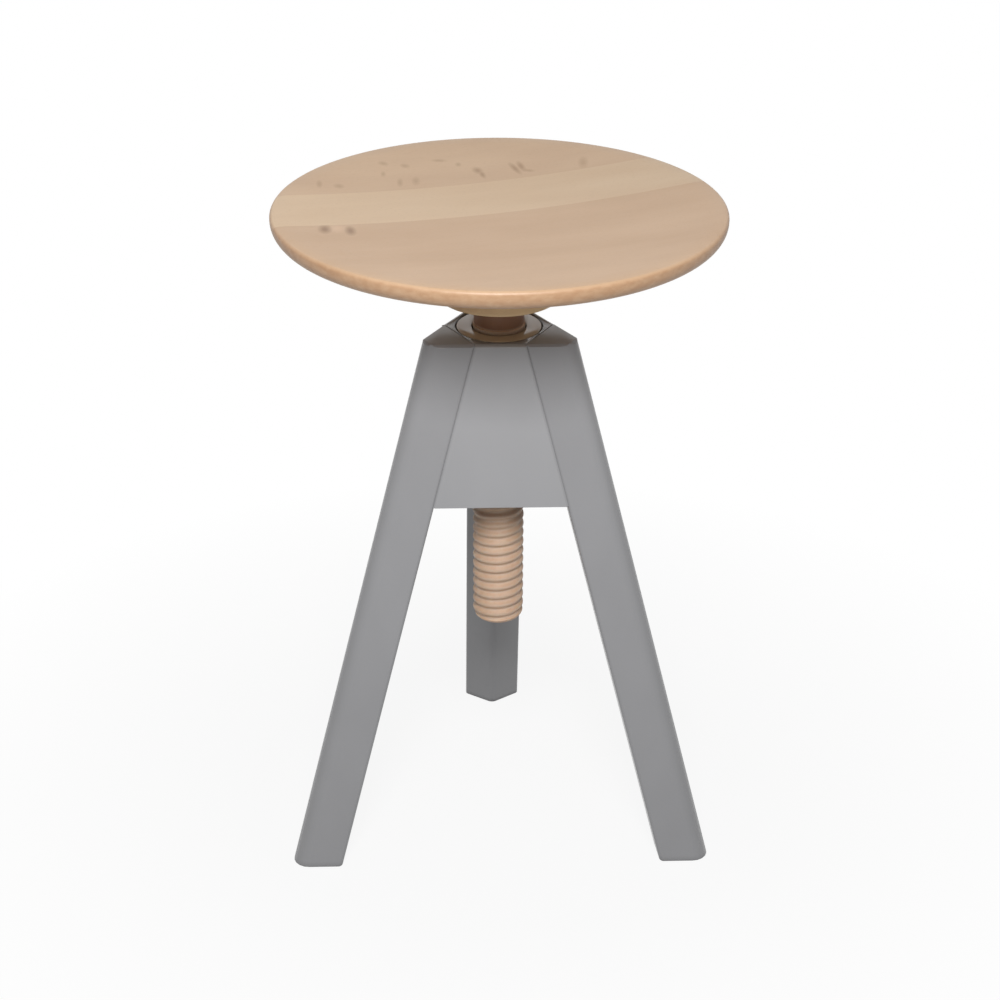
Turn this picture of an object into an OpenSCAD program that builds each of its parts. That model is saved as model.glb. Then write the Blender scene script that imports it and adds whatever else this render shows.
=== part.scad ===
// Stool with a round beech seat on a wooden screw, and three splayed legs
// joined to a hub. Turning the seat raises or lowers it. It is drawn screwed
// right down, with its front face towards -Y. The origin is on the floor, at
// the middle of the stool's length and width, so the screw stands a little in
// front of it: the back leg reaches further out than the seat does.

/* [Seat] */
// Diameter of the seat
seat_d = 344; // [320:1:380]
// Thickness of the seat's turned edge
seat_edge_t = 16; // [15.5:0.5:22]
// How far the underside swells down below the edge, at the boss
seat_belly = 12; // [10:0.5:20]
// Level land on the underside, round the boss
seat_land = 3; // [2:0.5:10]
// Depth of the shallow dish in the top
seat_dish = 8; // [2:0.5:10]
// Level band between the dish and the edge's rounding
seat_rim_w = 6; // [2:0.5:20]
// Rounding of the edge at the top
seat_top_r = 3; // [1:0.5:3.5]
// Rounding of the edge underneath
seat_under_r = 12; // [5:0.5:12.5]
// Direction of the boards, turned from the front edge
board_turn = 16.5; // [0:0.5:45]
// Distance of the front glue line behind the centre
front_seam = 10; // [9:0.5:18]
// Width of the middle board
middle_board_w = 66; // [50:1:74]
// Diameter of the dowels between the boards
board_dowel_d = 8; // [6:1:8]
// Length of the dowels between the boards
board_dowel_len = 32; // [24:1:36]
// Place of the outer dowels along each glue line, as a share of the seat's radius
board_dowel_share = 0.52; // [0.4:0.01:0.55]
// Depth of the board dowels' axis under the rim
board_dowel_drop = 15.5; // [15:0.5:16]

/* [Boss under the seat] */
// Diameter of the boss
boss_d = 96.8; // [88:0.2:104]
// Thickness of the boss
boss_t = 41.5; // [36:0.5:46]
// Rounding of the boss's lower edge
boss_edge_r = 3; // [1:0.5:5]
// Number of screws that hold the boss to the seat
boss_screw_count = 4; // [3:1:5]
// Radius of the circle that the screws stand on
boss_screw_circle_r = 33; // [28:0.5:35]
// Diameter of the screws
boss_screw_d = 4.5; // [3.5:0.5:5]
// How far the screws reach into the seat
boss_screw_bite = 15; // [10:1:17]
// Diameter of the dowel that centres the seat on the screw
centre_dowel_d = 12; // [8:1:14]
// How deep that dowel sits in the seat, and in the screw
centre_dowel_reach = 10; // [6:0.5:12]

/* [Wooden screw] */
// Diameter over the thread
thread_d = 40.6; // [36:0.2:44]
// Depth of the thread
thread_depth = 2.1; // [1.6:0.1:3.2]
// Rise of the seat for each full turn
pitch = 8; // [7:0.5:10]
// Width of the bottom of the groove
groove_w = 1.2; // [1:0.1:1.8]
// Width of each sloping side of the groove, measured along the screw
flank_w = 1.5; // [1.2:0.1:2]
// Length of the thread
thread_len = 254.5; // [200:0.5:280]
// Length over which the thread runs out into the collar
run_out = 6; // [4:0.5:8]
// Rounding of the lower end of the screw
tip_round = 8; // [3:0.5:10]
// Height of the full-width collar between the thread and the neck
collar_len = 3; // [1:0.5:8]
// Diameter of the plain neck
neck_d = 39; // [37.5:0.1:40]
// Height of the neck that shows between the nut and the boss
neck_len = 25.5; // [20:0.5:60]
// Diameter of the tenon that stands in the boss
tenon_d = 30; // [24:0.5:32]
// Diameter of the pin through the boss and the tenon
tenon_pin_d = 6; // [4:0.5:8]
// Length of that pin
tenon_pin_len = 58; // [56:1:60]

/* [Nut] */
// Diameter of the threaded nut in the hub
nut_d = 65.4; // [60:0.2:68]
// Length of the nut
nut_len = 70; // [60:1:90]
// Play between the thread's crests and the nut
thread_play = 0.45; // [0.4:0.05:0.6]
// Play between the sloping sides of the threads
flank_play = 0.3; // [0.25:0.05:0.35]
// Width of the groove round the nut's top, between it and the hub
nut_groove_w = 1.3; // [0.5:0.1:1.5]
// Depth of that groove
nut_groove_depth = 3; // [1:0.5:4]
// Room beside the nut's thread in its plain mouth, where the run-out enters
nut_mouth_room = 0.25; // [0.25:0.25:1.5]
// Diameter of the pins that hold the nut
nut_pin_d = 6; // [4:0.5:6]
// How far the pins reach into the nut
nut_pin_bite = 7; // [5:0.5:8]
// Depth of the pins below the top of the hub
nut_pin_drop = 48; // [46:1:50]

/* [Hub] */
// Height of the hub's top above the floor
base_h = 430; // [380:1:500]
// Height of the hub
hub_h = 128; // [116:1:150]
// Distance of each face from the axis, at the top
face_r = 39.1; // [38.5:0.1:41]
// Lean of the faces from upright
face_lean = 8.42; // [7:0.02:10]
// Bore in the hub below the nut
hub_bore_d = 46; // [45:0.5:50]
// Bevel along the hub's top edges
top_bevel = 2; // [0.5:0.5:3]
// Width of half the groove at each joint between hub and leg
seam_bevel = 1.2; // [0.6:0.1:2.6]

/* [Legs] */
// Rounding of a leg's side corners
leg_edge_r = 3; // [1:0.25:3.5]
// Width of each outer face of a leg, measured level
leg_face_w = 48.7; // [44:0.1:49]
// How far a leg's inner ridge stands out from its joint plane, measured level
leg_ridge = 17.5; // [8:0.5:24]
// Rounding of a leg's outer corner
leg_nose_r = 13; // [4:0.5:15]
// Rounding of a leg's inner ridge
leg_ridge_r = 7; // [2:0.5:12]
// Diameter of the dowels between leg and hub
leg_dowel_d = 8; // [6:0.5:8]
// Depth of a leg dowel in the leg
leg_dowel_in_leg = 14; // [8:0.5:14]
// Depth of a leg dowel in the hub
leg_dowel_in_hub = 9; // [6:0.5:9]
// Number of rows of dowels at each leg
leg_dowel_rows = 3; // [2:1:3]
// Distance of the top row below the hub's top
leg_dowel_top = 28; // [27:0.5:29]
// Distance between the rows
leg_dowel_step = 40; // [38:0.5:42]
// Distance between the two dowels of a row
leg_dowel_gap = 18; // [16:0.5:20]

/* [Fits] */
// Play round a glued dowel or pin
glue_gap = 0.1; // [0.05:0.01:0.2]
// Room left at the end of a blind hole
end_room = 0.5; // [0.3:0.1:0.9]
// Play round the dowel that centres the seat
turning_gap = 0.05; // [0.02:0.01:0.09]

/* [Hidden] */

beech_pale = "#e3c49c";
beech_rosy = "#dbb48e";
beech_turned = "#d9b48a";
dowel_wood = "#e8d2a8";
lacquer = "#9a9a98";
lacquer_nut = "#8c8780";
zinc = "#b9bcc0";

back = 90;
left = 210;
right = 330;
legs = [back, left, right];
leg_lean = atan(2 * tan(face_lean));
side_half = 30;
leg_chord = leg_face_w * cos(side_half);
joint_r = 2 * face_r - leg_chord;
// The back foot reaches to its rounded outer corner, the front of the stool to
// the seat's edge
nose_half = atan(leg_face_w / 2 / (leg_chord * cos(leg_lean)));
nose_cut = leg_nose_r * (1 / sin(nose_half) - 1) / cos(leg_lean);
back_reach = joint_r + base_h * tan(leg_lean) + leg_chord - nose_cut;
axis_y = -(max(back_reach, seat_d / 2) - seat_d / 2) / 2;
hub_low = base_h - hub_h;
nut_low = base_h - nut_len;
nut_mouth = run_out + end_room;
nut_pin_from = sqrt(pow(nut_d / 2, 2) - pow(leg_dowel_gap / 2, 2)) - nut_pin_bite;
nut_pin_len = joint_r + (nut_pin_drop - nut_pin_d / 2) * tan(leg_lean) - nut_pin_from - end_room;
bevel_lean = (90 + face_lean) / 2;
// The bevel beside a joint stands halfway between the hub's face and the joint
seam_lean = atan(tan(face_lean) / tan(side_half));
seam_r = face_r / tan(side_half) - (leg_face_w + seam_bevel) * sin(side_half);
crest_r = thread_d / 2;
root_r = crest_r - thread_depth;
mouth_r = crest_r + thread_play + nut_mouth_room;
thread_low = base_h - thread_len;
boss_low = base_h + neck_len;
seat_low = boss_low + boss_t;
edge_low = seat_low + seat_belly;
rim_top = edge_low + seat_edge_t;
seat_r = seat_d / 2;
dish_r = seat_r - seat_top_r - seat_rim_w;
under_start_r = seat_r - seat_under_r;
under_turn = 75;
belly_curve = 1.6;
board_dowel_z = rim_top - board_dowel_drop;
board_dowel_reach = board_dowel_share * seat_r;
back_seam = front_seam + middle_board_w;
past = 1;
// The run-out ends a little inside the collar, so that their edges don't touch
collar_step = 0.3;
far = 2 * base_h;
round_steps = 6;
curve_steps = 9;
thread_sides = 24;

function unit(v) = v / norm(v);

// Points of a polygon whose corners are rounded, each by its own radius
function rounded(corners, radii) = [
    for (i = [0:len(corners) - 1])
        let (
            n = len(corners),
            corner = corners[i],
            to_last = unit(corners[(i + n - 1) % n] - corner),
            to_next = unit(corners[(i + 1) % n] - corner),
            half = acos(to_last * to_next) / 2,
            r = radii[i],
            centre = corner + unit(to_last + to_next) * r / sin(half),
            arm = corner + to_last * r / tan(half) - centre,
            side = to_last.x * to_next.y - to_last.y * to_next.x,
            sweep = (side > 0 ? -1 : 1) * (180 - 2 * half)
        )
        each r == 0 ? [corner] : [
            for (k = [0:round_steps])
                let (a = k / round_steps * sweep)
                centre + [arm.x * cos(a) - arm.y * sin(a), arm.x * sin(a) + arm.y * cos(a)]
        ]
];

// Half of the seat's section: dished top, rounded edge, swelling underside
seat_section = [
    for (i = [0:curve_steps])
        let (r = dish_r * i / curve_steps)
        [r, rim_top - seat_dish * (1 - pow(r / dish_r, 2))],
    for (i = [0:round_steps])
        let (a = 90 - 90 * i / round_steps)
        [seat_r - seat_top_r + seat_top_r * cos(a), rim_top - seat_top_r + seat_top_r * sin(a)],
    for (i = [0:round_steps])
        let (a = -under_turn * i / round_steps)
        [seat_r - seat_under_r + seat_under_r * cos(a), edge_low + seat_under_r + seat_under_r * sin(a)],
    for (i = [1:curve_steps])
        let (
            t = i / curve_steps,
            r = under_start_r + (boss_d / 2 + seat_land - under_start_r) * t
        )
        [r, edge_low - seat_belly * (1 - pow(1 - t, belly_curve))],
    [0, seat_low],
];

module seat_blank() {
    rotate_extrude($fn = 180)
        polygon(seat_section);
}

// Moves its children from the origin to the screw's axis
module at_axis() {
    translate([0, axis_y, 0])
        children();
}

// The strip between two lines that run with the boards
module board_strip(from, to) {
    rotate(board_turn)
        translate([-far / 2, from, 0])
            cube([far, to - from, far]);
}

// Dowels across a glue line. The inner two stand over the boss's rim, clear of
// its screws.
module board_dowel_set(seam, extra_r = 0, extra_len = 0) {
    rotate(board_turn)
        for (x = [-board_dowel_reach, -boss_d / 2, boss_d / 2, board_dowel_reach])
            translate([x, seam, board_dowel_z])
                rotate([90, 0, 0])
                    cylinder(d = board_dowel_d + 2 * extra_r, h = board_dowel_len + 2 * extra_len,
                        center = true, $fn = 32);
}

// Repeats its children at each screw through the boss
module on_screw_circle() {
    for (i = [0:boss_screw_count - 1])
        rotate(360 / boss_screw_count * (i + 0.5))
            translate([boss_screw_circle_r, 0, 0])
                children();
}

// Countersunk wood screw, its head flush with the boss's underside
module wood_screw(gap = 0, extra_len = 0) {
    head_r = boss_screw_d;
    shank_r = boss_screw_d / 2;
    translate([0, 0, boss_low])
        rotate_extrude($fn = 32)
            polygon([
                [0, 0], [head_r + gap, 0], [shank_r + gap, head_r - shank_r],
                [shank_r + gap, boss_t + boss_screw_bite - shank_r + extra_len],
                [0, boss_t + boss_screw_bite + extra_len],
            ]);
}

// Blind hole in the seat and in the screw, round the centring dowel
module centre_dowel_hole() {
    depth = centre_dowel_reach + end_room;
    translate([0, 0, seat_low - depth])
        cylinder(d = centre_dowel_d + 2 * turning_gap, h = 2 * depth, $fn = 48);
}

module seat_board(from, to) {
    difference() {
        intersection() {
            seat_blank();
            board_strip(from, to);
        }
        board_dowel_set(front_seam, glue_gap, end_room);
        board_dowel_set(back_seam, glue_gap, end_room);
        on_screw_circle() wood_screw(glue_gap, end_room);
        centre_dowel_hole();
    }
}

module seat_board_front() {
    at_axis() color(beech_rosy) seat_board(-seat_d, front_seam);
}

module seat_board_middle() {
    at_axis() color(beech_pale) seat_board(front_seam, back_seam);
}

module seat_board_back() {
    at_axis() color(beech_rosy) seat_board(back_seam, seat_d);
}

module front_seam_dowels() {
    at_axis() color(dowel_wood) board_dowel_set(front_seam);
}

module back_seam_dowels() {
    at_axis() color(dowel_wood) board_dowel_set(back_seam);
}

// Pin driven in from the back, through the boss and the tenon
module tenon_pin_form(extra_r = 0, extra_len = 0) {
    pin_z = boss_low + boss_t / 3;
    translate([0, boss_d / 2 + extra_len, pin_z])
        rotate([90, 0, 0])
            cylinder(d = tenon_pin_d + 2 * extra_r, h = tenon_pin_len + 2 * extra_len, $fn = 32);
}

module seat_boss() {
    at_axis() color(beech_turned) difference() {
        translate([0, 0, boss_low])
            rotate_extrude($fn = 120)
                polygon(concat(
                    [[0, boss_t], [0, 0]],
                    [for (i = [0:round_steps])
                        let (a = -90 + 90 * i / round_steps)
                        [boss_d / 2, boss_edge_r] + boss_edge_r * [cos(a) - 1, sin(a)]],
                    [[boss_d / 2, boss_t]]
                ));
        translate([0, 0, boss_low - past])
            cylinder(d = tenon_d + 2 * glue_gap, h = boss_t + 2 * past, $fn = 64);
        on_screw_circle() wood_screw(glue_gap, end_room);
        tenon_pin_form(glue_gap, end_room);
    }
}

module boss_screws() {
    at_axis() color(zinc) on_screw_circle() wood_screw();
}

module centre_dowel() {
    at_axis() color(dowel_wood)
        translate([0, 0, seat_low - centre_dowel_reach])
            cylinder(d = centre_dowel_d, h = 2 * centre_dowel_reach, $fn = 48);
}

module tenon_pin() {
    at_axis() color(dowel_wood) tenon_pin_form();
}

// A rod with a helical groove, right-handed, made of one line per profile
// point that winds up the rod. profile lists the height and radius of the
// points of one pitch. shape gives the radius at a height, and is the same
// for all lines at both ends, where what is left of each line closes a ring.
module helical_rod(low, high, profile, shape) {
    lines = len(profile);
    first_turn = floor((low - profile[0][0]) / pitch) - 1;
    turns = ceil((high - profile[lines - 1][0]) / pitch) - first_turn + 1;
    steps = turns * thread_sides;
    last_ring = steps - thread_sides;
    function height(step, line) = pitch * (first_turn + step / thread_sides) + profile[line][0];
    function number(step, line) =
        height(step, line) <= low ? step % thread_sides * lines :
        height(step, line) >= high ? (last_ring + step % thread_sides) * lines + lines - 1 :
        step * lines + line;
    points = [
        for (step = [0:steps], line = [0:lines - 1])
            let (
                z = min(max(height(step, line), low), high),
                r = shape(z, profile[line][1]),
                a = 360 / thread_sides * (step % thread_sides)
            )
            [r * cos(a), r * sin(a), z]
    ];
    quads = [
        for (step = [0:steps - 1], line = [0:lines - 2])
            [number(step, line), number(step, line + 1), number(step + 1, line + 1), number(step + 1, line)],
        for (step = [0:last_ring - 1])
            [
                number(step, lines - 1), number(step + thread_sides, 0),
                number(step + 1 + thread_sides, 0), number(step + 1, lines - 1),
            ],
    ];
    sides = [
        for (q = quads, t = [[q[0], q[1], q[2]], [q[0], q[2], q[3]]])
            if (t[0] != t[1] && t[1] != t[2] && t[2] != t[0]) t
    ];
    low_end = [for (step = [0:thread_sides - 1]) step * lines];
    high_end = [for (step = [thread_sides - 1:-1:0]) (last_ring + step) * lines + lines - 1];
    polyhedron(points, concat(sides, [low_end, high_end]), convexity = 10);
}

// One pitch of the screw's thread, from the middle of a groove up
screw_profile = [
    [-groove_w / 2, root_r],
    [groove_w / 2, root_r],
    [groove_w / 2 + flank_w, crest_r],
    [pitch - groove_w / 2 - flank_w, crest_r],
];

// One pitch of the hollow in the nut, wider than the thread by its play
nut_profile = [
    [-groove_w / 2 + flank_play, root_r + thread_play],
    [groove_w / 2 - flank_play, root_r + thread_play],
    [groove_w / 2 + flank_w - flank_play, crest_r + thread_play],
    [pitch - groove_w / 2 - flank_w + flank_play, crest_r + thread_play],
];

module screw_spindle() {
    fade_low = base_h - run_out;
    tip_r = function (rise) crest_r - tip_round + sqrt(pow(tip_round, 2) - pow(tip_round - rise, 2));
    shape = function (z, r)
        z > fade_low ? r + (crest_r - collar_step - r) * (z - fade_low) / run_out :
        min(r, tip_r(min(z - thread_low, tip_round)));
    at_axis() color(beech_turned) difference() {
        union() {
            helical_rod(thread_low, base_h, screw_profile, shape);
            translate([0, 0, base_h])
                cylinder(d = thread_d, h = collar_len, $fn = 96);
            translate([0, 0, base_h + collar_len])
                cylinder(d = neck_d, h = neck_len - collar_len, $fn = 96);
            translate([0, 0, boss_low])
                cylinder(d = tenon_d, h = boss_t - end_room, $fn = 64);
        }
        centre_dowel_hole();
        tenon_pin_form(glue_gap, end_room);
    }
}

// Draws its children at a leg's joint plane, at a depth below the hub's top,
// with X level, out along the leg's side
module on_joint(azimuth, drop = 0) {
    rotate(azimuth)
        translate([joint_r + drop * tan(leg_lean), 0, base_h - drop])
            children();
}

// A block that keeps what lies inside a leaning plane, whose distance from the
// axis is given at the hub's top
module keep_inside(azimuth, distance, lean) {
    rotate(azimuth)
        translate([distance, 0, base_h])
            rotate([0, -lean, 0])
                translate([-far, -far / 2, -far])
                    cube([far, far, 2 * far]);
}

module keep_between(low, high) {
    translate([-far / 2, -far / 2, low])
        cube([far, far, high - low]);
}

// Pin through the hub into the nut, in from a leg's joint plane
module nut_pin_form(azimuth, length, extra_r = 0, extra_len = 0) {
    rotate(azimuth)
        translate([nut_pin_from - extra_len, leg_dowel_gap / 2, base_h - nut_pin_drop])
            rotate([0, 90, 0])
                cylinder(d = nut_pin_d + 2 * extra_r, h = length + extra_len, $fn = 32);
}

module nut_pin_holes() {
    for (azimuth = legs)
        nut_pin_form(azimuth, nut_pin_len + 2 * past, glue_gap, end_room);
}

module nut_bush() {
    low = nut_low;
    high = base_h - nut_mouth;
    bevel_r = crest_r + thread_play;
    shape = function (z, r) max(r, bevel_r - (z - low), bevel_r - (high - z));
    at_axis() color(lacquer_nut) difference() {
        translate([0, 0, nut_low])
            cylinder(d = nut_d, h = nut_len, $fn = 120);
        helical_rod(low - past / 2, high + past / 2, nut_profile, shape);
        translate([0, 0, base_h - nut_mouth])
            cylinder(r = mouth_r, h = nut_mouth + past, $fn = 96);
        nut_pin_holes();
    }
}

module nut_pins() {
    at_axis() color(dowel_wood)
        for (azimuth = legs)
            nut_pin_form(azimuth, nut_pin_len);
}

// Dowels square to a leg's joint plane, in rows of two
module leg_dowel_set(azimuth, extra_r = 0, extra_len = 0) {
    for (row = [0:leg_dowel_rows - 1], side = [-1, 1])
        on_joint(azimuth, leg_dowel_top + row * leg_dowel_step)
            rotate([0, -leg_lean, 0])
                translate([-leg_dowel_in_hub - extra_len, side * leg_dowel_gap / 2, 0])
                    rotate([0, 90, 0])
                        cylinder(d = leg_dowel_d + 2 * extra_r,
                            h = leg_dowel_in_hub + leg_dowel_in_leg + 2 * extra_len, $fn = 32);
}

// One third of the hub, with its face towards an azimuth
module hub_stave(azimuth) {
    joint_turn = 180 / len(legs);
    at_axis() color(lacquer) difference() {
        intersection() {
            keep_between(hub_low, base_h);
            rotate(azimuth)
                linear_extrude(height = far)
                    polygon([[0, 0], [far, -far * tan(joint_turn)], [far, far * tan(joint_turn)]]);
            keep_inside(azimuth, face_r, face_lean);
            keep_inside(azimuth, face_r - top_bevel, bevel_lean);
            keep_inside(azimuth - joint_turn, joint_r, leg_lean);
            keep_inside(azimuth + joint_turn, joint_r, leg_lean);
            keep_inside(azimuth - joint_turn / 2, seam_r, seam_lean);
            keep_inside(azimuth + joint_turn / 2, seam_r, seam_lean);
        }
        translate([0, 0, hub_low - past])
            cylinder(d = hub_bore_d, h = hub_h + 2 * past, $fn = 96);
        translate([0, 0, nut_low])
            cylinder(d = nut_d + 2 * glue_gap, h = nut_len + past, $fn = 120);
        translate([0, 0, base_h - nut_groove_depth])
            cylinder(d = nut_d + 2 * nut_groove_w, h = nut_groove_depth + past, $fn = 120);
        nut_pin_holes();
        for (leg = legs)
            leg_dowel_set(leg, glue_gap, end_room);
    }
}

module hub_stave_front() {
    hub_stave(back + 180);
}

module hub_stave_left() {
    hub_stave(right + 180);
}

module hub_stave_right() {
    hub_stave(left + 180);
}

// A leg is a straight prism that leans out, cut level at the floor and at the
// hub's top. Its outer faces are flush with the hub's, and its inner ridge
// stops below the hub, where its shoulder bears.
module leg(azimuth) {
    length = base_h / cos(leg_lean);
    section = rounded(
        [
            [leg_chord * cos(leg_lean), 0], [0, leg_face_w / 2],
            [-leg_ridge * cos(leg_lean), 0], [0, -leg_face_w / 2],
        ],
        [leg_nose_r, leg_edge_r, leg_ridge_r, leg_edge_r]
    );
    at_axis() color(lacquer) difference() {
        intersection() {
            on_joint(azimuth, base_h)
                rotate([0, -leg_lean, 0])
                    translate([0, 0, -leg_face_w])
                        linear_extrude(height = length + 2 * leg_face_w)
                            polygon(section);
            keep_between(0, base_h);
            keep_inside(azimuth + 180 / len(legs), face_r - top_bevel, bevel_lean);
            keep_inside(azimuth - 180 / len(legs), face_r - top_bevel, bevel_lean);
            keep_inside(azimuth, joint_r + leg_chord - nose_cut - top_bevel, (90 + leg_lean) / 2);
        }
        intersection() {
            keep_inside(azimuth, joint_r, leg_lean);
            keep_between(hub_low, far);
        }
        leg_dowel_set(azimuth, glue_gap, end_room);
    }
}

module leg_back() {
    leg(back);
}

module leg_left() {
    leg(left);
}

module leg_right() {
    leg(right);
}

module leg_dowels_back() {
    at_axis() color(dowel_wood) leg_dowel_set(back);
}

module leg_dowels_left() {
    at_axis() color(dowel_wood) leg_dowel_set(left);
}

module leg_dowels_right() {
    at_axis() color(dowel_wood) leg_dowel_set(right);
}

seat_board_front();
seat_board_middle();
seat_board_back();
front_seam_dowels();
back_seam_dowels();
seat_boss();
boss_screws();
centre_dowel();
tenon_pin();
screw_spindle();
nut_bush();
nut_pins();
hub_stave_front();
hub_stave_left();
hub_stave_right();
leg_back();
leg_left();
leg_right();
leg_dowels_back();
leg_dowels_left();
leg_dowels_right();
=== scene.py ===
"""Stool with a round beech seat on a wooden screw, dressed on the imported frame.

The seat, the screw and the parts of the base are modelled over the frame's own
nodes, in metres and in the frame's own place. Sizes are read from the frame
where it has them, and the rest stand in the property groups below.
"""
from math import cos, hypot, pi, radians, sin, sqrt

import bmesh
import bpy
from bpy.props import FloatProperty, FloatVectorProperty, PointerProperty
from mathutils import Matrix, Vector


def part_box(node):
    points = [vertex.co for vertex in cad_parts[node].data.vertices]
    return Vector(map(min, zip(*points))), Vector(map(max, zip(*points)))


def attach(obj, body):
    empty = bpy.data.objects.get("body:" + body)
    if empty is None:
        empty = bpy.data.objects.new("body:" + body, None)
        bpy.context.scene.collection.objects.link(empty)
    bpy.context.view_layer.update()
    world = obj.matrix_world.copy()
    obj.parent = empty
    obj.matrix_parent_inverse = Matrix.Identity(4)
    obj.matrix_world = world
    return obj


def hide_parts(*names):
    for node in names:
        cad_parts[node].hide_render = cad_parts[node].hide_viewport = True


bl_info = {
    "name": "Screw stool",
    "version": (1, 0, 0),
    "blender": (4, 5, 0),
    "location": "3D View > Sidebar > Stool",
    "description": "Dresses the frame of a stool with a wooden screw",
    "category": "Add Mesh",
}

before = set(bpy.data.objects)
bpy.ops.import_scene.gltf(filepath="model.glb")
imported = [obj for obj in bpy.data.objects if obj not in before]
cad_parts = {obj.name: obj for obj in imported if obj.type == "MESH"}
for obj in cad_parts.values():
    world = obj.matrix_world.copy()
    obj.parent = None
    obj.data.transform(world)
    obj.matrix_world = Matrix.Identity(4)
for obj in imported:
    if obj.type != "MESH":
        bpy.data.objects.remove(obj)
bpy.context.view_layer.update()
MM = 0.001
SMALL = 0.01 * MM
UPRIGHT = radians(90)
SHARP = radians(28)


def low_end(node):
    """Lowest corner of a node's box."""
    return Vector(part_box(node)[0])


def high_end(node):
    """Highest corner of a node's box."""
    return Vector(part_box(node)[1])


AXIS_Y = (low_end("centre_dowel").y + high_end("centre_dowel").y) / 2
AXIS = Vector((0, AXIS_Y, 0))
SEAT_LOW = low_end("seat_board_front").z
SEAT_TOP = high_end("seat_board_front").z
SEAT_RADIUS = AXIS_Y - low_end("seat_board_front").y
BOSS_LOW = low_end("seat_boss").z
BOSS_RADIUS = high_end("seat_boss").x
SCREW_LOW = low_end("screw_spindle").z
SCREW_TOP = high_end("screw_spindle").z
THREAD_RADIUS = high_end("screw_spindle").x
HUB_LOW = low_end("hub_stave_front").z
HUB_TOP = high_end("hub_stave_front").z
LEG_AZIMUTHS = {"back": 90, "left": 210, "right": 330}
STAVE_AZIMUTHS = {"front": 270, "left": 150, "right": 30}


def length(name, description, default):
    """Property for a length in metres."""
    return FloatProperty(name=name, description=description, default=default, unit="LENGTH",
                         precision=4)


def angle(name, description, degrees):
    """Property for an angle."""
    return FloatProperty(name=name, description=description, default=radians(degrees),
                         subtype="ANGLE")


def linear(hex_colour):
    """Linear colour, with alpha, of an sRGB hex value."""
    parts = [int(hex_colour[i:i + 2], 16) / 255 for i in (1, 3, 5)]
    return [c / 12.92 if c <= 0.04045 else ((c + 0.055) / 1.055) ** 2.4 for c in parts] + [1.0]


def colour(name, description, hex_colour):
    """Property for a colour, written as an sRGB hex value."""
    return FloatVectorProperty(name=name, description=description, subtype="COLOR", size=4,
                               min=0, max=1, default=linear(hex_colour))


class StoolSeat(bpy.types.PropertyGroup):
    """Sizes of the seat that its box doesn't tell."""
    edge: length("Edge", "Thickness of the turned edge", 0.016)
    dish: length("Dish", "Depth of the dish in the top", 0.008)
    rim: length("Rim", "Level band between the dish and the edge", 0.006)
    top_round: length("Top rounding", "Rounding of the edge at the top", 0.003)
    under_round: length("Under rounding", "Rounding of the edge underneath", 0.012)
    land: length("Land", "Level land on the underside, round the boss", 0.003)
    board_turn: angle("Board turn", "Direction of the boards, turned from the front", 16.5)
    front_seam: length("Front seam", "Distance of the front glue line behind the centre", 0.010)
    middle_board: length("Middle board", "Width of the middle board", 0.066)


class StoolScrew(bpy.types.PropertyGroup):
    """Sizes of the wooden screw."""
    pitch: length("Pitch", "Rise of the seat for each full turn", 0.008)
    depth: length("Depth", "Depth of the thread", 0.0021)
    tip: length("Tip", "Rounding of the lower end", 0.008)
    run_out: length("Run-out", "Length over which the thread ends below the collar", 0.006)
    collar: length("Collar", "Height of the full-width collar under the neck", 0.003)
    neck: length("Neck", "Diameter of the plain neck", 0.039)
    tenon: length("Tenon", "Diameter of the tenon in the boss", 0.030)


class StoolBase(bpy.types.PropertyGroup):
    """Sizes of the base's finish."""
    top_round: length("Top rounding", "Rounding of the edges at the hub's top", 0.0009)
    sole_round: length("Sole rounding", "Rounding of the legs' edges at the floor", 0.0018)
    joint_gap: length("Joint gap", "Opening of the joints between hub and legs at the top", 0.0010)
    joint_depth: length("Joint depth", "Depth at which those joints close", 0.003)
    nut_round: length("Nut rounding", "Rounding of the nut's top edges", 0.0006)
    face_lean: angle("Face lean", "Lean of the hub's faces from upright", 8.42)
    leg_lean: angle("Leg lean", "Lean of the legs from upright", 16.49)


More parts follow.
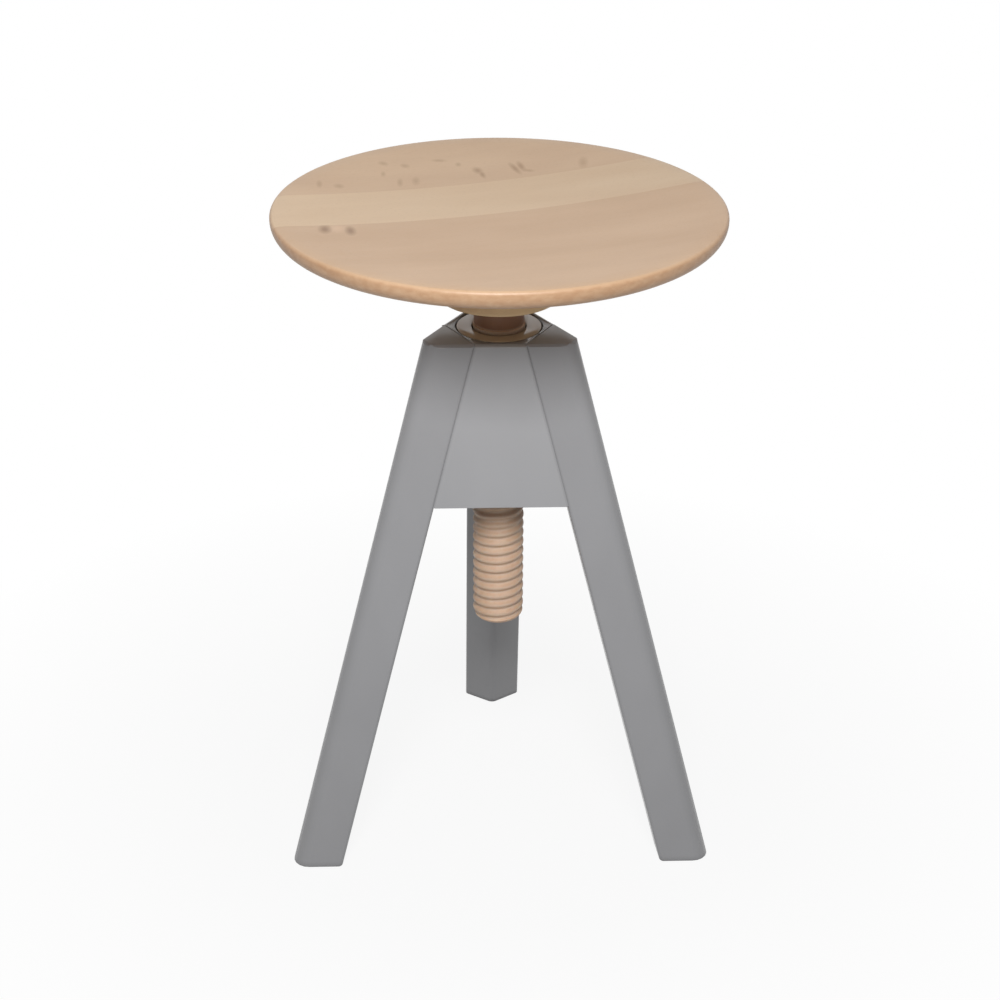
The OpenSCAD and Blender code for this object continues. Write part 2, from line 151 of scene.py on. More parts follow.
class StoolColours(bpy.types.PropertyGroup):
    """Colours of the wood and the lacquer."""
    front_light: colour("Front board", "Lighter wood of the front board", "#cdad8d")
    front_dark: colour("Front board, dark", "Darker wood of the front board", "#bc9977")
    middle_light: colour("Middle board", "Lighter wood of the middle board", "#d5ba9a")
    middle_dark: colour("Middle board, dark", "Darker wood of the middle board", "#c9a986")
    back_light: colour("Back board", "Lighter wood of the back board", "#d0b190")
    back_dark: colour("Back board, dark", "Darker wood of the back board", "#bd9b7b")
    # The boss's colours are lighter and yellower than the seat's: partly its own beech, partly
    # painted light for the bounced light that reaches it under the seat
    boss_light_with_painted_bounce: colour("Boss", "Lighter wood of the boss", "#e0c08f")
    boss_dark_with_painted_bounce: colour("Boss, dark", "Darker wood of the boss", "#cfa878")
    screw_light: colour("Screw", "Lighter wood of the screw", "#c0aa98")
    screw_dark: colour("Screw, dark", "Darker wood of the screw", "#b0957c")
    fleck: colour("Flecks", "Short dark flecks in the wood", "#8f6942")
    # On the seat's edge and underside this colour is partly painted shade
    end_grain_and_edge_shade: colour("End grain", "Wood cut across its fibres", "#ab8260")
    # Painted shade: the screw's neck is given this darker brown for the deep shade it lies in under
    # the seat
    painted_neck_shade: colour("Painted neck shade", "Neck of the screw, painted darker for its shade", "#8a5a38")
    knot: colour("Knots", "Pin knots in the seat", "#7a5431")
    pale: colour("Pale wood", "Paler wood beside the knots", "#dfbc9c")
    dowel: colour("Dowels", "Wood of the dowels and pins", "#e0c69c")
    lacquer: colour("Lacquer", "Lacquer of the legs", "#8b8b8d")
    # Painted light: the hub is given a lighter copy of the legs' grey lacquer, for the brighter light
    # on the middle of the base
    hub: colour("Hub", "Lacquer of the hub", "#969698")
    # Partly painted light: the nut's lacquer is written warmer than the hub's grey, for the warm
    # light that the seat and the screw's neck throw on it
    nut: colour("Nut", "Lacquer of the nut", "#beb09c")
    zinc: colour("Screws", "Zinc plate of the screws", "#c3c6c9")
    floor: colour("Floor", "Floor under the stool, as the light finds it", "#cccccc")


class StoolCamera(bpy.types.PropertyGroup):
    """The camera, and the soft lights of the studio."""
    distance: length("Distance", "Level distance from the screw's axis", 1.648044)
    height: length("Height", "Height above the floor", 1.109095)
    turned: angle("Turned", "How far the camera stands round from the front", 1.9605)
    pan: angle("Pan", "Turn to the right of the axis", 0.0452)
    tilt: angle("Tilt", "Tilt down from level", 26.7125)
    roll: angle("Roll", "Roll of the camera", 0.2195)
    lens: FloatProperty(name="Lens", description="Focal length for a 36 mm sensor, in mm",
                        default=83.3277)
    sky: FloatProperty(name="Sky", description="Strength of the even light", default=0.17)
    key: FloatProperty(name="Key", description="Power of the soft light, in watts", default=36)
    key_distance: length("Key distance", "Distance of the soft light from the hub", 1.8)
    key_size: length("Key size", "Width and height of the soft light", 0.6)
    key_rise: angle("Key rise", "How high the soft light stands, from level", 39.5)
    key_side: angle("Key side", "How far the soft light stands to the left of the front", 3)


def picked(name):
    """One of the scene's property groups."""
    return getattr(bpy.context.scene, "stool_" + name)


# Meshes

def about_axis(bm, points, steps, rise=0.0):
    """Spins a line of radius and height points round the screw's axis, and lifts
    it by rise on the way."""
    verts = [bm.verts.new((r, AXIS_Y, z)) for r, z in points]
    edges = [bm.edges.new(pair) for pair in zip(verts, verts[1:])]
    bmesh.ops.spin(bm, geom=verts + edges, cent=AXIS, axis=(0, 0, 1), dvec=(0, 0, rise / steps),
                   angle=2 * pi, steps=steps, use_merge=rise == 0, use_normal_flip=False,
                   use_duplicate=False)
    bmesh.ops.remove_doubles(bm, verts=bm.verts, dist=SMALL)


def arc(centre_r, centre_z, radius, start, end, count):
    """Points along an arc, from one angle in degrees to another."""
    turns = [radians(start + (end - start) * i / count) for i in range(count + 1)]
    return [(centre_r + radius * cos(a), centre_z + radius * sin(a)) for a in turns]


def cut(bm, place, normal, fill=True):
    """Takes away what lies on the normal's side of a plane, and closes the cut."""
    geom = bm.verts[:] + bm.edges[:] + bm.faces[:]
    bmesh.ops.bisect_plane(bm, geom=geom, dist=SMALL / 10, plane_co=place, plane_no=normal,
                           clear_outer=True)
    if fill:
        bmesh.ops.holes_fill(bm, edges=[e for e in bm.edges if e.is_boundary], sides=0)


def merged_copy(node):
    """A node's mesh with its loose triangles joined into whole flat faces."""
    bm = bmesh.new()
    bm.from_mesh(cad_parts[node].data)
    bmesh.ops.remove_doubles(bm, verts=bm.verts, dist=SMALL)
    bmesh.ops.dissolve_limit(bm, angle_limit=radians(0.5), verts=bm.verts, edges=bm.edges)
    return bm


def sharp_edges(bm):
    """The edges where two faces meet at a clear angle."""
    return [e for e in bm.edges if e.calc_face_angle(0) > SHARP]


def round_off(bm, edges, radius):
    """Rounds edges over."""
    bmesh.ops.bevel(bm, geom=edges, offset=radius, offset_type="OFFSET", affect="EDGES",
                    segments=3, profile=0.5, material=-1, clamp_overlap=True)


def finished(name, bm, material, body, node, grain):
    """Makes a piece of a mesh, in a node's place. grain turns places so that the
    wood's fibres run along X, and they are kept on the mesh in millimetres."""
    bmesh.ops.recalc_face_normals(bm, faces=bm.faces)
    mesh = bpy.data.meshes.new(name)
    bm.to_mesh(mesh)
    bm.free()
    mesh.materials.append(material)
    mesh.shade_smooth()
    mesh.set_sharp_from_angle(angle=SHARP)
    places = mesh.attributes.new("grain", "FLOAT_VECTOR", "POINT")
    flat = [c / MM for v in mesh.vertices for c in grain @ v.co]
    places.data.foreach_set("vector", flat)
    piece = bpy.data.objects.new(name, mesh)
    bpy.context.scene.collection.objects.link(piece)
    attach(piece, body)
    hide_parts(node)
    return piece


def grain_along(azimuth, lean=0.0):
    """Turns places so that a line at an azimuth, raised from level, lies along X."""
    level = Matrix.Rotation(-azimuth, 4, "Z") @ Matrix.Translation(-AXIS)
    return Matrix.Rotation(lean, 4, "Y") @ level


# Nodes of the materials

def add(tree, kind, inputs=(), **settings):
    """Adds a shader node. Each input is a value, a socket or another node, in the
    order of the node's sockets, or by name; None leaves a socket as it is."""
    node = tree.nodes.new("ShaderNode" + kind)
    for setting, value in settings.items():
        setattr(node, setting, value)
    if isinstance(inputs, dict):
        pairs = [(node.inputs[socket], value) for socket, value in inputs.items()]
    else:
        pairs = zip([socket for socket in node.inputs if socket.enabled], inputs)
    for socket, value in pairs:
        if isinstance(value, bpy.types.Node):
            value = next(out for out in value.outputs if out.enabled)
        if isinstance(value, bpy.types.NodeSocket):
            tree.links.new(value, socket)
        elif value is not None:
            socket.default_value = value
    return node


def new_material(name):
    """An empty material and its node tree."""
    material = bpy.data.materials.new(name)
    material.use_nodes = True
    material.node_tree.nodes.clear()
    return material, material.node_tree


def finish_surface(tree, sockets, height, depth):
    """The shader and its relief. A height of 1 stands for depth, in metres."""
    bump = add(tree, "Bump", {"Height": height, "Distance": depth, "Strength": 1.0})
    shader = add(tree, "BsdfPrincipled", {**sockets, "Normal": bump})
    add(tree, "OutputMaterial", {"Surface": shader})


def grain_place(tree):
    """A point's place in its piece of wood, in millimetres with X along the fibres."""
    return add(tree, "Attribute", attribute_name="grain").outputs["Vector"]


def object_place(tree):
    """A point's place in the stool, in millimetres from the foot of the axis."""
    place = add(tree, "TexCoord").outputs["Object"]
    return add(tree, "Mapping", (place, AXIS, (0, 0, 0), (MM, MM, MM)), vector_type="TEXTURE")


def drawn_out(tree, place, sizes):
    """Places measured in steps of a size in millimetres along X, Y and Z."""
    return add(tree, "VectorMath", (place, [1 / size for size in sizes]), operation="MULTIPLY")


def marked(tree, place, ovals):
    """How much of a point lies in one of a few soft ovals. Each is its place
    along and across the grain, its length, its width and its turn."""
    most = 0.0
    deep = 40
    for along, across, long, wide, turned in ovals:
        middle = (along, across, SEAT_TOP / MM)
        inside = add(tree, "Mapping", (place, middle, (0, 0, radians(turned)),
                                       (long / 2, wide / 2, deep)), vector_type="TEXTURE")
        far = add(tree, "VectorMath", (inside,), operation="LENGTH")
        share = add(tree, "MapRange", (far.outputs["Value"], 1.0, 0.2))
        most = add(tree, "Math", (most, share), operation="MAXIMUM")
    return most


def growth_rings(tree, place, ring_step):
    """How much of a point is darker late wood, in a board sawn beside the tree's
    heart, which lies below it and to one side."""
    # The rings wander by up to a centimetre along a board
    stretch = drawn_out(tree, place, (260, 70, 70))
    wander = add(tree, "TexNoise", {"Vector": stretch, "Scale": 1.0}).outputs["Color"]
    wander = add(tree, "VectorMath", (wander, (-0.5, -0.5, -0.5)), operation="ADD")
    bend = add(tree, "VectorMath", (wander, (0, 26, 26)), operation="MULTIPLY")
    bent = add(tree, "VectorMath", (place, bend), operation="ADD")
    heart = add(tree, "Mapping", (bent, (0, -35, 420), (0, radians(1.2), 0), (1, 1, 1)),
                vector_type="TEXTURE")
    # A ring pattern of scale 1 repeats every 0.314 mm
    rings = add(tree, "TexWave", {"Vector": heart, "Scale": 0.314 / ring_step, "Distortion": 1.5,
                                  "Detail Scale": 0.6}, wave_type="RINGS", rings_direction="X")
    return add(tree, "Math", (rings, 2.5), operation="POWER")


def cut_across_and_edge_shade(tree, fibre_way, edge):
    """How squarely a surface cuts the fibres, from its normal. edge is how much a turned edge, and
    every face that turns away from straight up, counts as cut all round; on the seat this is partly
    painted shade on its edge and underside."""
    normal = add(tree, "TexCoord").outputs["Normal"]
    facing = add(tree, "VectorMath", (normal, fibre_way), operation="DOT_PRODUCT")
    facing = add(tree, "Math", (facing.outputs["Value"],), operation="ABSOLUTE")
    share = add(tree, "MapRange", (facing, 0.3, 0.9))
    if edge:
        # Partly painted shade: faces that turn away from straight up are darkened like end grain,
        # which tames the lit brightness of the seat's edge
        up = add(tree, "SeparateXYZ", (normal,)).outputs["Z"]
        edge_grain_and_shade = add(tree, "MapRange", (up, 0.95, 0.4, 0.0, edge))
        share = add(tree, "Math", (share, edge_grain_and_shade), operation="MAXIMUM")
    return share


def beech(name, light, dark, place_of=grain_place, fibre_way=(1, 0, 0), ring_step=5.0, painted_light_drift=0.0,
          edge=0.0, marks=(), groove=None, neck_shade_from=None, roughness=0.38):
    """Steamed beech, sanded and given a thin satin clear coat. It is even and
    fine: pinkish brown, with growth rings that hardly show, short dark flecks
    where the saw cuts its rays, and a darker tone where its end grain shows.
    painted_light_drift is how much paler it gets towards the left end, a painted light for the
    brighter light there, and edge how much a turned edge is darkened like end grain, which on the
    seat is partly painted shade on its edge and underside. marks are colours, each with its share and
    its ovals. groove gives the radii in millimetres between which the thread is painted paler towards
    its root, a painted light that lightens the shade in its grooves, and neck_shade_from the height
    above which the neck is painted a darker brown, a painted shade for the deep shade under the seat."""
    material, tree = new_material(name)
    shades = picked("colours")
    place = place_of(tree)
    late = growth_rings(tree, place, ring_step)
    cloud = add(tree, "TexNoise", {"Vector": drawn_out(tree, place, (110, 34, 34)), "Scale": 1.0})
    mottle = add(tree, "MapRange", (cloud, 0.3, 0.7))
    fibre = add(tree, "TexNoise", {"Vector": drawn_out(tree, place, (22, 0.8, 0.8)), "Scale": 1.0})
    # Ray flecks are 1 to 3 mm long and thin. They are drawn twice as wide, to show at all
    dots = add(tree, "TexVoronoi", {"Vector": drawn_out(tree, place, (5.0, 1.3, 1.3)), "Scale": 1.0})
    flecks = add(tree, "MapRange", (dots.outputs["Distance"], 0.30, 0.12))
    share = add(tree, "Math", (late, 0.06, mottle), operation="MULTIPLY_ADD")
    share = add(tree, "Math", (share, 0.45, 0.2), operation="MULTIPLY_ADD")
    wood = add(tree, "Mix", (share, light, dark), data_type="RGBA")
    pores = add(tree, "TexNoise", {"Vector": drawn_out(tree, place, (7, 7, 4)), "Scale": 1.0})
    across = cut_across_and_edge_shade(tree, fibre_way, edge)
    # End grain darkens the wood; on the seat's edge and underside this is partly painted shade
    end_and_edge_shade_share = add(tree, "MapRange", (pores, 0.3, 0.65, 0.35, 0.8))
    end_and_edge_shade_share = add(tree, "Math", (end_and_edge_shade_share, across), operation="MULTIPLY")
    wood = add(tree, "Mix", (end_and_edge_shade_share, wood, shades.end_grain_and_edge_shade), data_type="RGBA")
    fleck_share = add(tree, "Math", (flecks, 0.13), operation="MULTIPLY")
    wood = add(tree, "Mix", (fleck_share, wood, shades.fleck), data_type="RGBA")
    for shade, most, ovals in marks:
        spots = add(tree, "Math", (marked(tree, place, ovals), most), operation="MULTIPLY")
        wood = add(tree, "Mix", (spots, wood, shade), data_type="RGBA")
    along = add(tree, "SeparateXYZ", (place,)).outputs["X"]
    # Painted shade: above the collar the neck is mixed towards a darker brown, for the deep shade
    # under the seat
    if neck_shade_from:
        neck_shade_share = add(tree, "MapRange", (along, neck_shade_from, neck_shade_from + 1.5, 0.0, 0.85))
        wood = add(tree, "Mix", (neck_shade_share, wood, shades.painted_neck_shade), data_type="RGBA")
    tone = add(tree, "MapRange", (fibre, 0.25, 0.75, 0.985, 1.015))
    # Painted light: the thread's wood is paler towards its root, which lightens the shade in its
    # grooves
    if groove:
        off_axis = add(tree, "VectorMath", (place, (0, 1, 1)), operation="MULTIPLY")
        off_axis = add(tree, "VectorMath", (off_axis,), operation="LENGTH").outputs["Value"]
        painted_groove_light = add(tree, "MapRange", (off_axis, *groove, 1.2, 1.05))
        tone = add(tree, "Math", (tone, painted_groove_light), operation="MULTIPLY")
    # Painted light: the board is paler towards its left end, for the brighter light that falls there
    if painted_light_drift:
        reach = SEAT_RADIUS / MM
        paler = add(tree, "MapRange", (along, -reach, reach, 1 + painted_light_drift, 1 - painted_light_drift))
        tone = add(tree, "Math", (tone, paler), operation="MULTIPLY")
    wood = add(tree, "VectorMath", (wood, tone), operation="MULTIPLY")
    gloss = add(tree, "MapRange", (fibre, 0.2, 0.8, roughness - 0.05, roughness + 0.05))
    # End grain drinks the coat and shines less
    gloss = add(tree, "Math", (across, 0.08, gloss), operation="MULTIPLY_ADD")
    sockets = {"Base Color": wood, "Roughness": gloss, "IOR": 1.5}
    if groove:
        # Light soaks a few millimetres into bare wood, which softens the thread's shade
        sockets |= {"Subsurface Weight": 0.8, "Subsurface Radius": (1.0, 0.7, 0.5),
                    "Subsurface Scale": 4 * MM}
    height = add(tree, "Math", (flecks, -0.6, fibre), operation="MULTIPLY_ADD")
    finish_surface(tree, sockets, height, 0.03 * MM)
    return material


def sprayed_lacquer(name, base, roughness):
    """Two-part lacquer sprayed on beech: an even glossy grey, with the faint ripple of the spray, a
    trace of the wood's fibres under it, and painted shade in its corners and grooves."""
    material, tree = new_material(name)
    place = grain_place(tree)
    ripple = add(tree, "TexNoise", {"Vector": drawn_out(tree, place, (4, 4, 4)), "Scale": 1.0,
                                    "Detail": 1.0})
    fibres = add(tree, "TexNoise", {"Vector": drawn_out(tree, place, (60, 1.6, 1.6)), "Scale": 1.0})
    cloud = add(tree, "TexNoise", {"Vector": drawn_out(tree, place, (90, 40, 40)), "Scale": 1.0})
    tone = add(tree, "MapRange", (cloud, 0.3, 0.7, 0.975, 1.025))
    # Painted shade: ambient occlusion darkens the corners of the joints and the grooves, and takes
    # the shine from them; dust and polish dull them there too.
    corner = add(tree, "AmbientOcclusion", {"Distance": 6 * MM}, samples=8).outputs["AO"]
    dust_and_painted_shade = add(tree, "MapRange", (corner, 0.5, 1.0, 0.75, 1.0))
    tone = add(tree, "Math", (tone, dust_and_painted_shade), operation="MULTIPLY")
    paint = add(tree, "VectorMath", (list(base)[:3], tone), operation="MULTIPLY")
    gloss = add(tree, "MapRange", (cloud, 0.3, 0.7, roughness - 0.02, roughness + 0.02))
    painted_shade_shine = add(tree, "MapRange", (corner, 0.4, 0.9, 0.1, 0.5))
    height = add(tree, "Math", (fibres, 0.5, ripple), operation="MULTIPLY_ADD")
    sockets = {"Base Color": paint, "Roughness": gloss, "IOR": 1.5, "Specular IOR Level": painted_shade_shine}
    finish_surface(tree, sockets, height, 0.012 * MM)
    return material


def zinc_plate(name, base):
    """Steel plated with bright zinc: a pale metal, brushed by its tumbling."""
    material, tree = new_material(name)
    place = drawn_out(tree, object_place(tree), (0.8, 0.8, 6))
    scratches = add(tree, "TexNoise", {"Vector": place, "Scale": 1.0})
    gloss = add(tree, "MapRange", (scratches, 0.3, 0.7, 0.28, 0.42))
    sockets = {"Base Color": base, "Metallic": 1.0, "Roughness": gloss}
    finish_surface(tree, sockets, scratches, 0.01 * MM)
    return material


class STOOL_OT_seat(bpy.types.Operator):
    """Turn the seat's three boards"""
    bl_idname = "stool.seat"
    bl_label = "Seat"

    def outline(self):
        """Half of the seat's section, from the middle of its dish round its edge
        to the middle of its underside."""
        seat = picked("seat")
        dish_r = SEAT_RADIUS - seat.top_round - seat.rim
        edge_low = SEAT_TOP - seat.edge
        under_r = SEAT_RADIUS - seat.under_round
        land_r = BOSS_RADIUS + seat.land
        dish_steps = 26
        belly_steps = 24
        belly_curve = 1.6
        points = [(dish_r * i / dish_steps, SEAT_TOP - seat.dish * (1 - (i / dish_steps) ** 2))
                  for i in range(dish_steps + 1)]
        top_r = SEAT_RADIUS - seat.top_round
        points += arc(top_r, SEAT_TOP - seat.top_round, seat.top_round, 90, 0, 8)
        # This rounding stops short of level, where the belly takes over
        points += arc(under_r, edge_low + seat.under_round, seat.under_round, 0, -75, 12)
        for i in range(1, belly_steps + 1):
            share = i / belly_steps
            drop = (edge_low - SEAT_LOW) * (1 - (1 - share) ** belly_curve)
            points.append((under_r + (land_r - under_r) * share, edge_low - drop))
        return points + [(0, SEAT_LOW)]

    def execute(self, context):
        seat = picked("seat")
        shades = picked("colours")
        turned = seat.board_turn
        fibre_way = (cos(turned), sin(turned), 0)
        across = Vector((-sin(turned), cos(turned), 0))
        front = AXIS + across * seat.front_seam
        back = AXIS + across * (seat.front_seam + seat.middle_board)
        # Two dark pin knots with paler wood between them, near the left of the front seam
        knots = [(shades.pale, 0.5, [(-125, 2, 24, 15, -105)]),
                 (shades.knot, 0.7, [(-134.5, 1.5, 24, 12, -105), (-116.5, -4, 25, 10, -102)])]
        # Mineral spikes that the saw cut across, and specks, along the back seam
        spikes = [(15.5, 101, 18, 10, -93), (16.5, 92, 20, 6, -95), (45, 96, 31, 7, -88),
                  (51, 99, 26, 7, -95)]
        specks = [(-8, 128.5, 14, 8, -14), (4.5, 117, 6, 11, -15), (-37.5, 124, 12, 9, -88),
                  (-51, 91.5, 23, 6, -106), (-38, 92, 22, 8, -107), (-114, 97.5, 20, 6, -104),
                  (-100, 91.5, 10, 13, -7), (-53, 132, 12, 9, -72), (-59, 111, 14, 5, -106),
                  (54, 88.5, 12, 8, -36), (99.5, 88.5, 28, 10, -110)]
        stains = [(shades.fleck, 0.6, spikes), (shades.fleck, 0.37, specks)]
        boards = {
            "front": ([(front, across)], shades.front_light, shades.front_dark, "seat_beech",
                      {"marks": knots, "painted_light_drift": 0.02}),
            "middle": ([(front, -across), (back, across)], shades.middle_light, shades.middle_dark,
                       "seat_beech_pale", {"ring_step": 7.0, "painted_light_drift": 0.06}),
            "back": ([(back, -across)], shades.back_light, shades.back_dark, "seat_beech",
                     {"marks": stains, "painted_light_drift": 0.04}),
        }
        for name, (cuts, light, dark, slot, more) in boards.items():
            bm = bmesh.new()
            about_axis(bm, self.outline(), steps=180)
            for place, normal in cuts:
                cut(bm, place, normal)
            # edge=0.9 darkens the seat's edge and underside like end grain, partly as painted shade
            wood = beech(f"sanded_beech_{name}_board", light, dark, fibre_way=fibre_way, edge=0.9,
                         **more)
            finished(f"{name}_board", bm, wood, "seat", f"seat_board_{name}",
                     grain_along(turned))
        return {"FINISHED"}


class STOOL_OT_boss(bpy.types.Operator):
    """Turn the boss under the seat, and plate its screws"""
    bl_idname = "stool.boss"
    bl_label = "Boss"

    def execute(self, context):
        shades = picked("colours")
        turned = picked("seat").board_turn
        wood = beech("turned_beech_boss", shades.boss_light_with_painted_bounce, shades.boss_dark_with_painted_bounce,
                     fibre_way=(cos(turned), sin(turned), 0))
        finished("boss", merged_copy("seat_boss"), wood, "seat", "seat_boss",
                 grain_along(turned))
        dress("boss_screws", zinc_plate("zinc_plated_steel", shades.zinc))
        return {"FINISHED"}


class STOOL_OT_screw(bpy.types.Operator):
    """Cut the wooden screw, with its neck and tenon"""
    bl_idname = "stool.screw"
    bl_label = "Wooden screw"

    def thread_radius(self, height):
        """Radius of the thread at a height above the middle of a groove."""
        screw = picked("screw")
        groove_curve = 2.4
        groove = abs(cos(pi * height / screw.pitch)) ** groove_curve
        return THREAD_RADIUS - screw.depth * groove

    def execute(self, context):
        screw = picked("screw")
        shades = picked("colours")
        steps = 84
        per_pitch = 14
        first = int(SCREW_LOW / screw.pitch) - 1
        last = int(HUB_TOP / screw.pitch) + 2
        count = (last - first) * per_pitch
        heights = [screw.pitch * (first + i / per_pitch) for i in range(count + 1)]
        bm = bmesh.new()
        about_axis(bm, [(self.thread_radius(z), z) for z in heights], steps, screw.pitch)
        cut(bm, (0, 0, SCREW_LOW), (0, 0, -1))
        cut(bm, (0, 0, HUB_TOP), (0, 0, 1), fill=False)
        fade_low = HUB_TOP - screw.run_out
        # The lower end is rounded, and the thread runs out under the collar
        for v in bm.verts:
            out = v.co - AXIS
            radius = hypot(out.x, out.y)
            if radius < SMALL:
                continue
            rise = min(v.co.z - SCREW_LOW, screw.tip)
            tip_radius = THREAD_RADIUS - screw.tip + sqrt(screw.tip ** 2 - (screw.tip - rise) ** 2)
            wanted = min(radius, tip_radius)
            if v.co.z > fade_low:
                share = (v.co.z - fade_low) / screw.run_out
                wanted = radius + (THREAD_RADIUS - radius) * share
            v.co.x *= wanted / radius
            v.co.y = AXIS_Y + out.y * wanted / radius
        rim = [e for e in bm.edges if e.is_boundary and e.verts[0].co.z > fade_low]
        bmesh.ops.holes_fill(bm, edges=rim, sides=0)
        bmesh.ops.remove_doubles(bm, verts=bm.verts, dist=SMALL)
        collar_top = HUB_TOP + screw.collar
        step = THREAD_RADIUS - screw.neck / 2
        neck = [(0, HUB_TOP), (THREAD_RADIUS, HUB_TOP), (THREAD_RADIUS, collar_top - step)]
        neck += arc(screw.neck / 2, collar_top - step, step, 0, 90, 6)
        neck += [(screw.neck / 2, BOSS_LOW), (screw.tenon / 2, BOSS_LOW)]
        neck += [(screw.tenon / 2, SCREW_TOP), (0, SCREW_TOP)]
        about_axis(bm, neck, steps)
        groove = ((THREAD_RADIUS - screw.depth) / MM, THREAD_RADIUS / MM)
        wood = beech("turned_beech_screw", shades.screw_light, shades.screw_dark, fibre_way=(0, 0, 1),
                     groove=groove, neck_shade_from=collar_top / MM, roughness=0.6)
        finished("screw", bm, wood, "seat", "screw_spindle",
                 grain_along(0, UPRIGHT))
        return {"FINISHED"}


class STOOL_OT_nut(bpy.types.Operator):
    """Turn the nut that stands in the hub"""
    bl_idname = "stool.nut"
    bl_label = "Nut"

    def execute(self, context):
        bm = merged_copy("nut_bush")
        top = [e for e in sharp_edges(bm) if min(v.co.z for v in e.verts) > HUB_TOP - SMALL]
        round_off(bm, top, picked("base").nut_round)
        paint = sprayed_lacquer("glossy_lacquer_nut", picked("colours").nut, 0.13)
        finished("nut", bm, paint, "base", "nut_bush", grain_along(0, UPRIGHT))
        return {"FINISHED"}


class STOOL_OT_hub(bpy.types.Operator):
    """Plane the three staves of the hub"""
    bl_idname = "stool.hub"
    bl_label = "Hub"

    def open_joints(self, bm, out):
        """Draws the top of a stave's joint faces back from the legs."""
        base = picked("base")
        geom = bm.verts[:] + bm.edges[:] + bm.faces[:]
        bmesh.ops.bisect_plane(bm, geom=geom, dist=SMALL / 10, plane_no=(0, 0, 1),
                               plane_co=(0, 0, HUB_TOP - base.joint_depth))
        # The joint faces stand at 60 degrees to the stave's own face
        for face in [f for f in bm.faces if 0.3 < f.normal.dot(out) < 0.6]:
            back = Vector((face.normal.x, face.normal.y, 0)).normalized() * base.joint_gap
            top = [v for v in face.verts if v.co.z > HUB_TOP - base.top_round - SMALL]
            bmesh.ops.translate(bm, verts=top, vec=-back)

    def execute(self, context):
        base = picked("base")
        # Painted light: a lighter copy of the legs' lacquer
        paint = sprayed_lacquer("glossy_lacquer_hub", picked("colours").hub, 0.22)
        for name, azimuth in STAVE_AZIMUTHS.items():
            bm = merged_copy(f"hub_stave_{name}")
            out = Vector((cos(radians(azimuth)), sin(radians(azimuth)), 0))
            # The skin faces outwards, as the stave's own face and its grooves do, or up or down
            skin = {f for f in bm.faces if f.normal.dot(out) > 0.6 or abs(f.normal.z) > 0.9}
            edges = [e for e in sharp_edges(bm) if skin.issuperset(e.link_faces)]
            round_off(bm, edges, base.top_round)
            self.open_joints(bm, out)
            finished(f"stave_{name}", bm, paint, "base", f"hub_stave_{name}",
                     grain_along(radians(azimuth), UPRIGHT - base.face_lean))
        return {"FINISHED"}


class STOOL_OT_legs(bpy.types.Operator):
    """Plane the three legs"""
    bl_idname = "stool.legs"
    bl_label = "Legs"

    def execute(self, context):
        base = picked("base")
        paint = sprayed_lacquer("glossy_lacquer_legs", picked("colours").lacquer, 0.22)
        for name, azimuth in LEG_AZIMUTHS.items():
            bm = merged_copy(f"leg_{name}")
            out = Vector((cos(radians(azimuth)), sin(radians(azimuth)), 0))
            sole = [e for e in sharp_edges(bm) if max(v.co.z for v in e.verts) < SMALL]
            round_off(bm, sole, base.sole_round)
            # The face glued to the hub stays sharp
            joint = {f for f in bm.faces if f.normal.dot(out) < -0.9}
            near_top = HUB_TOP - base.joint_depth
            top = [e for e in sharp_edges(bm) if joint.isdisjoint(e.link_faces)
                   and min(v.co.z for v in e.verts) > near_top]
            round_off(bm, top, base.top_round)
            finished(f"leg_piece_{name}", bm, paint, "base", f"leg_{name}",
                     grain_along(radians(azimuth), UPRIGHT - base.leg_lean))
        return {"FINISHED"}


def dress(node, material):
    """Gives one of the frame's own nodes a material."""
    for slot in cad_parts[node].material_slots:
        slot.link = "OBJECT"
        slot.material = material


class STOOL_OT_dowels(bpy.types.Operator):
    """Give the dowels and pins their wood"""
    bl_idname = "stool.dowels"
    bl_label = "Dowels and pins"

    def execute(self, context):
        shades = picked("colours")
        wood = beech("rolled_beech_dowel", shades.dowel, shades.screw_light, object_place)
        nodes = ["front_seam_dowels", "back_seam_dowels", "centre_dowel", "tenon_pin", "nut_pins"]
        for node in nodes + [f"leg_dowels_{name}" for name in LEG_AZIMUTHS]:
            dress(node, wood)
        return {"FINISHED"}


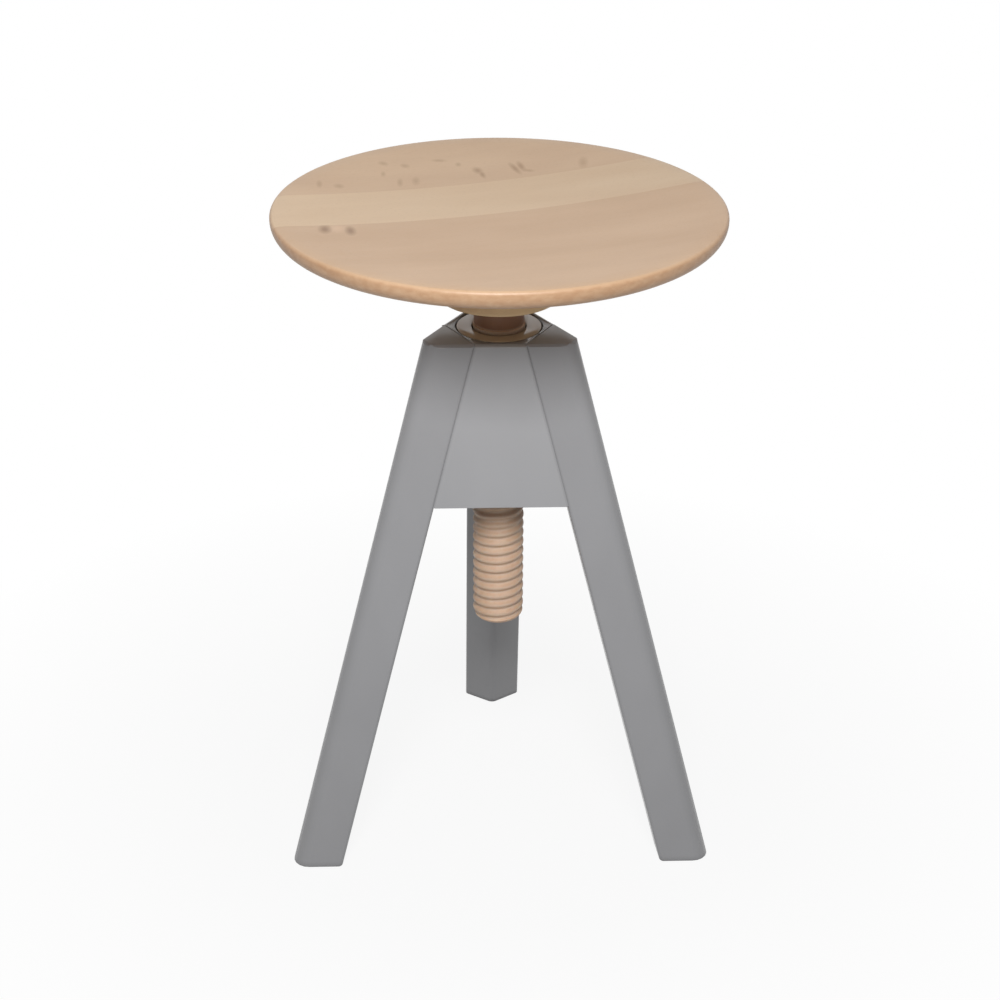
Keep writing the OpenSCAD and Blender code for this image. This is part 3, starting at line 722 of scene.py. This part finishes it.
class STOOL_OT_stage(bpy.types.Operator):
    """Lay the floor, set the lights and stand the camera"""
    bl_idname = "stool.stage"
    bl_label = "Stage"

    def floor(self):
        """A wide disc of paper."""
        bm = bmesh.new()
        bmesh.ops.create_circle(bm, cap_ends=True, radius=9.0, segments=96)
        mesh = bpy.data.meshes.new("floor")
        bm.to_mesh(mesh)
        bm.free()
        floor = bpy.data.objects.new("floor", mesh)
        bpy.context.scene.collection.objects.link(floor)
        material, tree = new_material("matt_paper_floor")
        place = add(tree, "TexCoord").outputs["Object"]
        away = add(tree, "VectorMath", (place,), operation="LENGTH").outputs["Value"]
        paper = add(tree, "BsdfDiffuse", {"Color": picked("colours").floor})
        # The camera sees the paper whiter than it is, most of all away from the stool's shadow
        glow = add(tree, "Emission", {"Color": (1, 1, 1, 1), "Strength": 1.0})
        whiter = add(tree, "MapRange", (away, 0.2, 0.6, 0.9, 1.0))
        seen = add(tree, "Math", (whiter, self.seen(tree)), operation="MULTIPLY")
        shown = add(tree, "MixShader", (seen, paper, glow))
        add(tree, "OutputMaterial", {"Surface": shown})
        mesh.materials.append(material)

    def seen(self, tree):
        """1 for rays from the camera, also in a mirror or through glass."""
        path = add(tree, "LightPath").outputs
        gloss = add(tree, "Math", (path["Is Camera Ray"], path["Is Glossy Ray"]), operation="MAXIMUM")
        return add(tree, "Math", (gloss, path["Is Transmission Ray"]), operation="MAXIMUM")

    def sky(self):
        """Even light from all round, which the camera sees as white."""
        world = bpy.data.worlds.new("studio")
        bpy.context.scene.world = world
        world.use_nodes = True
        tree = world.node_tree
        tree.nodes.clear()
        lit = add(tree, "Background", {"Color": (1, 1, 1, 1), "Strength": picked("camera").sky})
        white = add(tree, "Background", {"Color": (1, 1, 1, 1), "Strength": 1.0})
        shown = add(tree, "MixShader", (self.seen(tree), lit, white))
        add(tree, "OutputWorld", {"Surface": shown})

    def soft_light(self):
        """A square soft light in front of the stool and above it, aimed at the hub."""
        setting = picked("camera")
        lamp = bpy.data.lights.new("key_light", "AREA")
        lamp.shape = "SQUARE"
        lamp.size = setting.key_size
        lamp.energy = setting.key
        light = bpy.data.objects.new("key_light", lamp)
        side = Matrix.Rotation(-setting.key_side, 4, "Z")
        rise = Matrix.Rotation(UPRIGHT - setting.key_rise, 4, "X")
        hub = Matrix.Translation(AXIS + Vector((0, 0, HUB_TOP)))
        light.matrix_world = hub @ side @ rise @ Matrix.Translation((0, 0, setting.key_distance))
        bpy.context.scene.collection.objects.link(light)

    def camera(self):
        """The camera, in front of the stool and looking down on it."""
        setting = picked("camera")
        lens = bpy.data.cameras.new("camera")
        lens.sensor_width = 36
        lens.lens = setting.lens
        camera = bpy.data.objects.new("camera", lens)
        stand = Matrix.Rotation(-setting.turned, 4, "Z")
        aim = Matrix.Rotation(-setting.pan, 4, "Z") @ Matrix.Rotation(UPRIGHT - setting.tilt, 4, "X")
        place = Matrix.Translation(AXIS + stand @ Vector((0, -setting.distance, setting.height)))
        camera.matrix_world = place @ stand @ aim @ Matrix.Rotation(setting.roll, 4, "Z")
        bpy.context.scene.collection.objects.link(camera)
        bpy.context.scene.camera = camera

    def execute(self, context):
        context.scene.view_settings.view_transform = "Standard"
        self.floor()
        self.sky()
        self.soft_light()
        self.camera()
        return {"FINISHED"}


class STOOL_PT_panel(bpy.types.Panel):
    """Steps that dress the stool"""
    bl_label = "Stool"
    bl_idname = "STOOL_PT_panel"
    bl_space_type = "VIEW_3D"
    bl_region_type = "UI"
    bl_category = "Stool"

    def draw(self, context):
        for operator in OPERATORS:
            self.layout.operator(operator.bl_idname)
        for group in GROUPS:
            settings = getattr(context.scene, "stool_" + group)
            box = self.layout.box()
            box.label(text=group.capitalize())
            for setting in settings.bl_rna.properties:
                if setting.identifier not in ("rna_type", "name"):
                    box.prop(settings, setting.identifier)


GROUPS = {"seat": StoolSeat, "screw": StoolScrew, "base": StoolBase, "colours": StoolColours,
          "camera": StoolCamera}
OPERATORS = (STOOL_OT_stage, STOOL_OT_seat, STOOL_OT_boss, STOOL_OT_screw, STOOL_OT_nut, STOOL_OT_hub,
             STOOL_OT_legs, STOOL_OT_dowels)


def register():
    for item in (*GROUPS.values(), *OPERATORS, STOOL_PT_panel):
        bpy.utils.register_class(item)
    for name, group in GROUPS.items():
        setattr(bpy.types.Scene, "stool_" + name, PointerProperty(type=group))


def unregister():
    for name in GROUPS:
        delattr(bpy.types.Scene, "stool_" + name)
    for item in (STOOL_PT_panel, *OPERATORS, *GROUPS.values()):
        bpy.utils.unregister_class(item)


def main():
    register()
    for operator in OPERATORS:
        group, name = operator.bl_idname.split(".")
        getattr(getattr(bpy.ops, group), name)()


if __name__ == "__main__":
    main()
